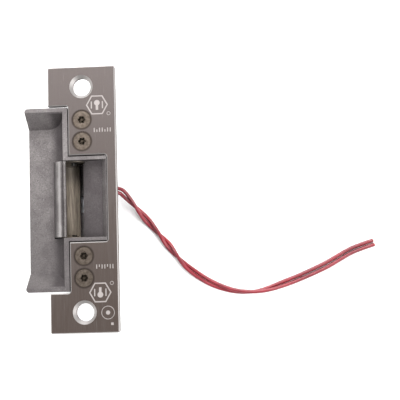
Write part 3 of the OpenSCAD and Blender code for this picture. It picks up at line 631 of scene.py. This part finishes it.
# %% Copy the return spring
return_spring = bpy.data.objects.new("return_spring", nodes["plunger_spring"].data.copy())
bpy.context.scene.collection.objects.link(return_spring)
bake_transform(return_spring)
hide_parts("plunger_spring")

# %% [markdown]
# ## Faceplate screws
# The flat heads are olive brown steel. Turning left fine rings, which are a wave in the distance from
# each screw's own axis, and the rim and the socket are darkened as painted shade.

# %% Screw finish


socket_r = 2.0
ring_waves = 22.0


def olive_screws():
    """Olive brown heads with turned rings, and painted shade on the rim and in the socket."""
    look = Finish("olive_screws", metallic=0.9)
    distance = screw_distance(look)
    rings = (distance * ring_waves).sine() * 0.5 + 0.5
    stain = look.noise(1.4, detail=4, rough=0.6)
    tone = look.blend(stain.step(0.3, 0.7), (0.095, 0.075, 0.06), (0.15, 0.122, 0.1))
    # Painted shade on the rim, where the head meets the plate.
    rim_shade = distance.step(screw_head_r - 0.75, screw_head_r - 0.1)
    tone = look.blend(rim_shade, tone, (0.04, 0.03, 0.025))
    # Painted shade in the socket.
    tone = look.blend(distance.step(socket_r - 0.7, socket_r), (0.05, 0.04, 0.03), tone)
    return look.set(Base_Color=tone, Roughness=0.32 + stain * 0.15, Normal=look.height(rings, 0.01))


assign("faceplate_screws", olive_screws())
print("rings on a screw head:", round(ring_waves * screw_head_r / (2 * math.pi)))

# %% [markdown]
# ## Plastics, copper and rubber
# The bobbin is cream nylon, the winding shows its turns of enamelled wire as fine rings, the tape is
# glossy amber film and the grommet is matt rubber. The rings are a wave along the coil's own length.

# %% Coil and grommet finishes


def moulded(name, dark, light, rough, size, depth, coat=0.0):
    """A moulded or cast film surface whose grain has this size and depth in mm."""
    look = Finish(name, coat=coat)
    grain = look.noise(size, detail=3)
    cloud = look.noise(size * 12, detail=3)
    tone = look.blend(cloud.step(0.3, 0.7), dark, light)
    return look.set(Base_Color=tone, Roughness=rough + grain * 0.12,
                    Normal=look.height(grain, depth))


turn_pitch = 0.3


def wound_copper():
    """Enamelled wire whose turns show as fine rings along the coil."""
    look = Finish("wound_copper", metallic=0.8, coat=0.6)
    rings = look.place.part("Y") * (2 * math.pi / (turn_pitch * MM))
    rings = rings.sine() * 0.5 + 0.5
    tone = look.blend(rings, (0.16, 0.045, 0.02), (0.5, 0.2, 0.09))
    return look.set(Base_Color=tone, Roughness=0.3 + rings * 0.1,
                    Normal=look.height(rings, 0.08))


assign("solenoid_bobbin", moulded("cream_nylon", (0.62, 0.58, 0.46), (0.72, 0.69, 0.58),
                                  rough=0.42, size=0.2, depth=0.01))
assign("coil_tape", moulded("amber_film", (0.5, 0.32, 0.04), (0.62, 0.42, 0.08),
                            rough=0.22, size=0.5, depth=0.01, coat=0.5))
assign("wire_grommet", moulded("matt_rubber", (0.012, 0.012, 0.013), (0.025, 0.025, 0.027),
                               rough=0.62, size=0.25, depth=0.02))
assign("coil_winding", wound_copper())
coil_low, coil_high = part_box("coil_winding")
print("turns shown along the coil:", round((coil_high.y - coil_low.y) / MM / turn_pitch))

# %% [markdown]
# ## Red insulation
# The leads have soft extruded insulation in a deep crimson, semi-gloss, with faint handling marks.
# The gloss is a thin coat over a slightly rough base, as on soft vinyl.

# %% Lead finishes


def red_insulation():
    """Crimson vinyl with faint handling marks under a thin gloss."""
    look = Finish("red_insulation", coat=0.25, coat_roughness=0.25)
    marks = look.noise(0.6, detail=4, rough=0.6)
    cloud = look.noise(9, detail=3)
    tone = look.blend(cloud.step(0.3, 0.7), (0.13, 0.005, 0.012), (0.225, 0.009, 0.019))
    tone = look.blend(marks.step(0.6, 0.85) * 0.35, tone, (0.38, 0.05, 0.065))
    return look.set(Base_Color=tone, Roughness=0.38 + marks * 0.15, Normal=look.height(marks, 0.02))


red_finish = red_insulation()
assign("coil_leads", red_finish)
for lead, _, _ in leads:
    lead.data.materials.append(red_finish)

copper_finish = plated("bare_copper", (0.5, 0.2, 0.1), (0.75, 0.38, 0.22), rough=0.25)
for strand in strands:
    strand.data.materials.append(copper_finish)
print("red pieces:", len(leads) + 1, "and bare copper pieces:", len(strands))

# %% [markdown]
# ## Smooth shading on the CAD parts
# A CAD cylinder arrives as flat strips. Shading by angle keeps corners crisp and makes round faces
# look round, without changing any shape.

# %% Shade the CAD parts
for piece in nodes.values():
    for face in piece.data.polygons:
        face.use_smooth = True
    piece.data.set_sharp_from_angle(angle=math.radians(30))
print("CAD parts shaded:", len(nodes))

# %% [markdown]
# ## Bench and light
# The strike lies on a plain white bench. The bench is lit until it is evenly white, and the metal
# reflects a dimmer sky above, so the metal reads darker than the bench. The large light stands over
# the upper end. It brightens the upper edges and fades down the plate.

# %% Bench
bench = bpy.data.objects.new("bench", bpy.data.meshes.new("bench"))
bench_half = 1.2
corner_signs = ((-1, -1), (1, -1), (1, 1), (-1, 1))
corners = [(x * bench_half, y * bench_half, bench_z) for x, y in corner_signs]
bench.data.from_pydata(corners, [], [(0, 1, 2, 3)])
bpy.context.scene.collection.objects.link(bench)
bench_look = Finish("white_bench", specular=0.2)
bench.data.materials.append(bench_look.set(Base_Color=(0.94, 0.94, 0.94), Roughness=0.8))
print("bench width in m:", 2 * bench_half)

# %% Lights


lit_point = Vector((0.03, 0.0, 0.0))


def soft_light(name, place, size, power):
    """A square light of this size in metres and power in watts, turned to the strike."""
    data = bpy.data.lights.new(name, "AREA")
    data.shape = "SQUARE"
    data.size = size
    data.energy = power
    light = bpy.data.objects.new(name, data)
    light.location = place
    away = Vector(place) - lit_point
    light.rotation_euler = away.to_track_quat("Z", "Y").to_euler()
    bpy.context.scene.collection.objects.link(light)


soft_light("key_light", place=(-0.1, 0.8, 0.75), size=0.9, power=24)
soft_light("left_light", place=(-0.85, -0.25, 0.6), size=0.5, power=7)
soft_light("right_light", place=(0.9, -0.35, 0.85), size=0.8, power=21)
world = bpy.data.worlds.new("studio")
bpy.context.scene.world = world
world.use_nodes = True
sky = world.node_tree.nodes["Background"]
sky.inputs["Color"].default_value = (1, 1, 1, 1)
sky.inputs["Strength"].default_value = 0.34
bpy.context.scene.view_settings.view_transform = "Standard"
print("lights:", [item.name for item in bpy.data.lights])
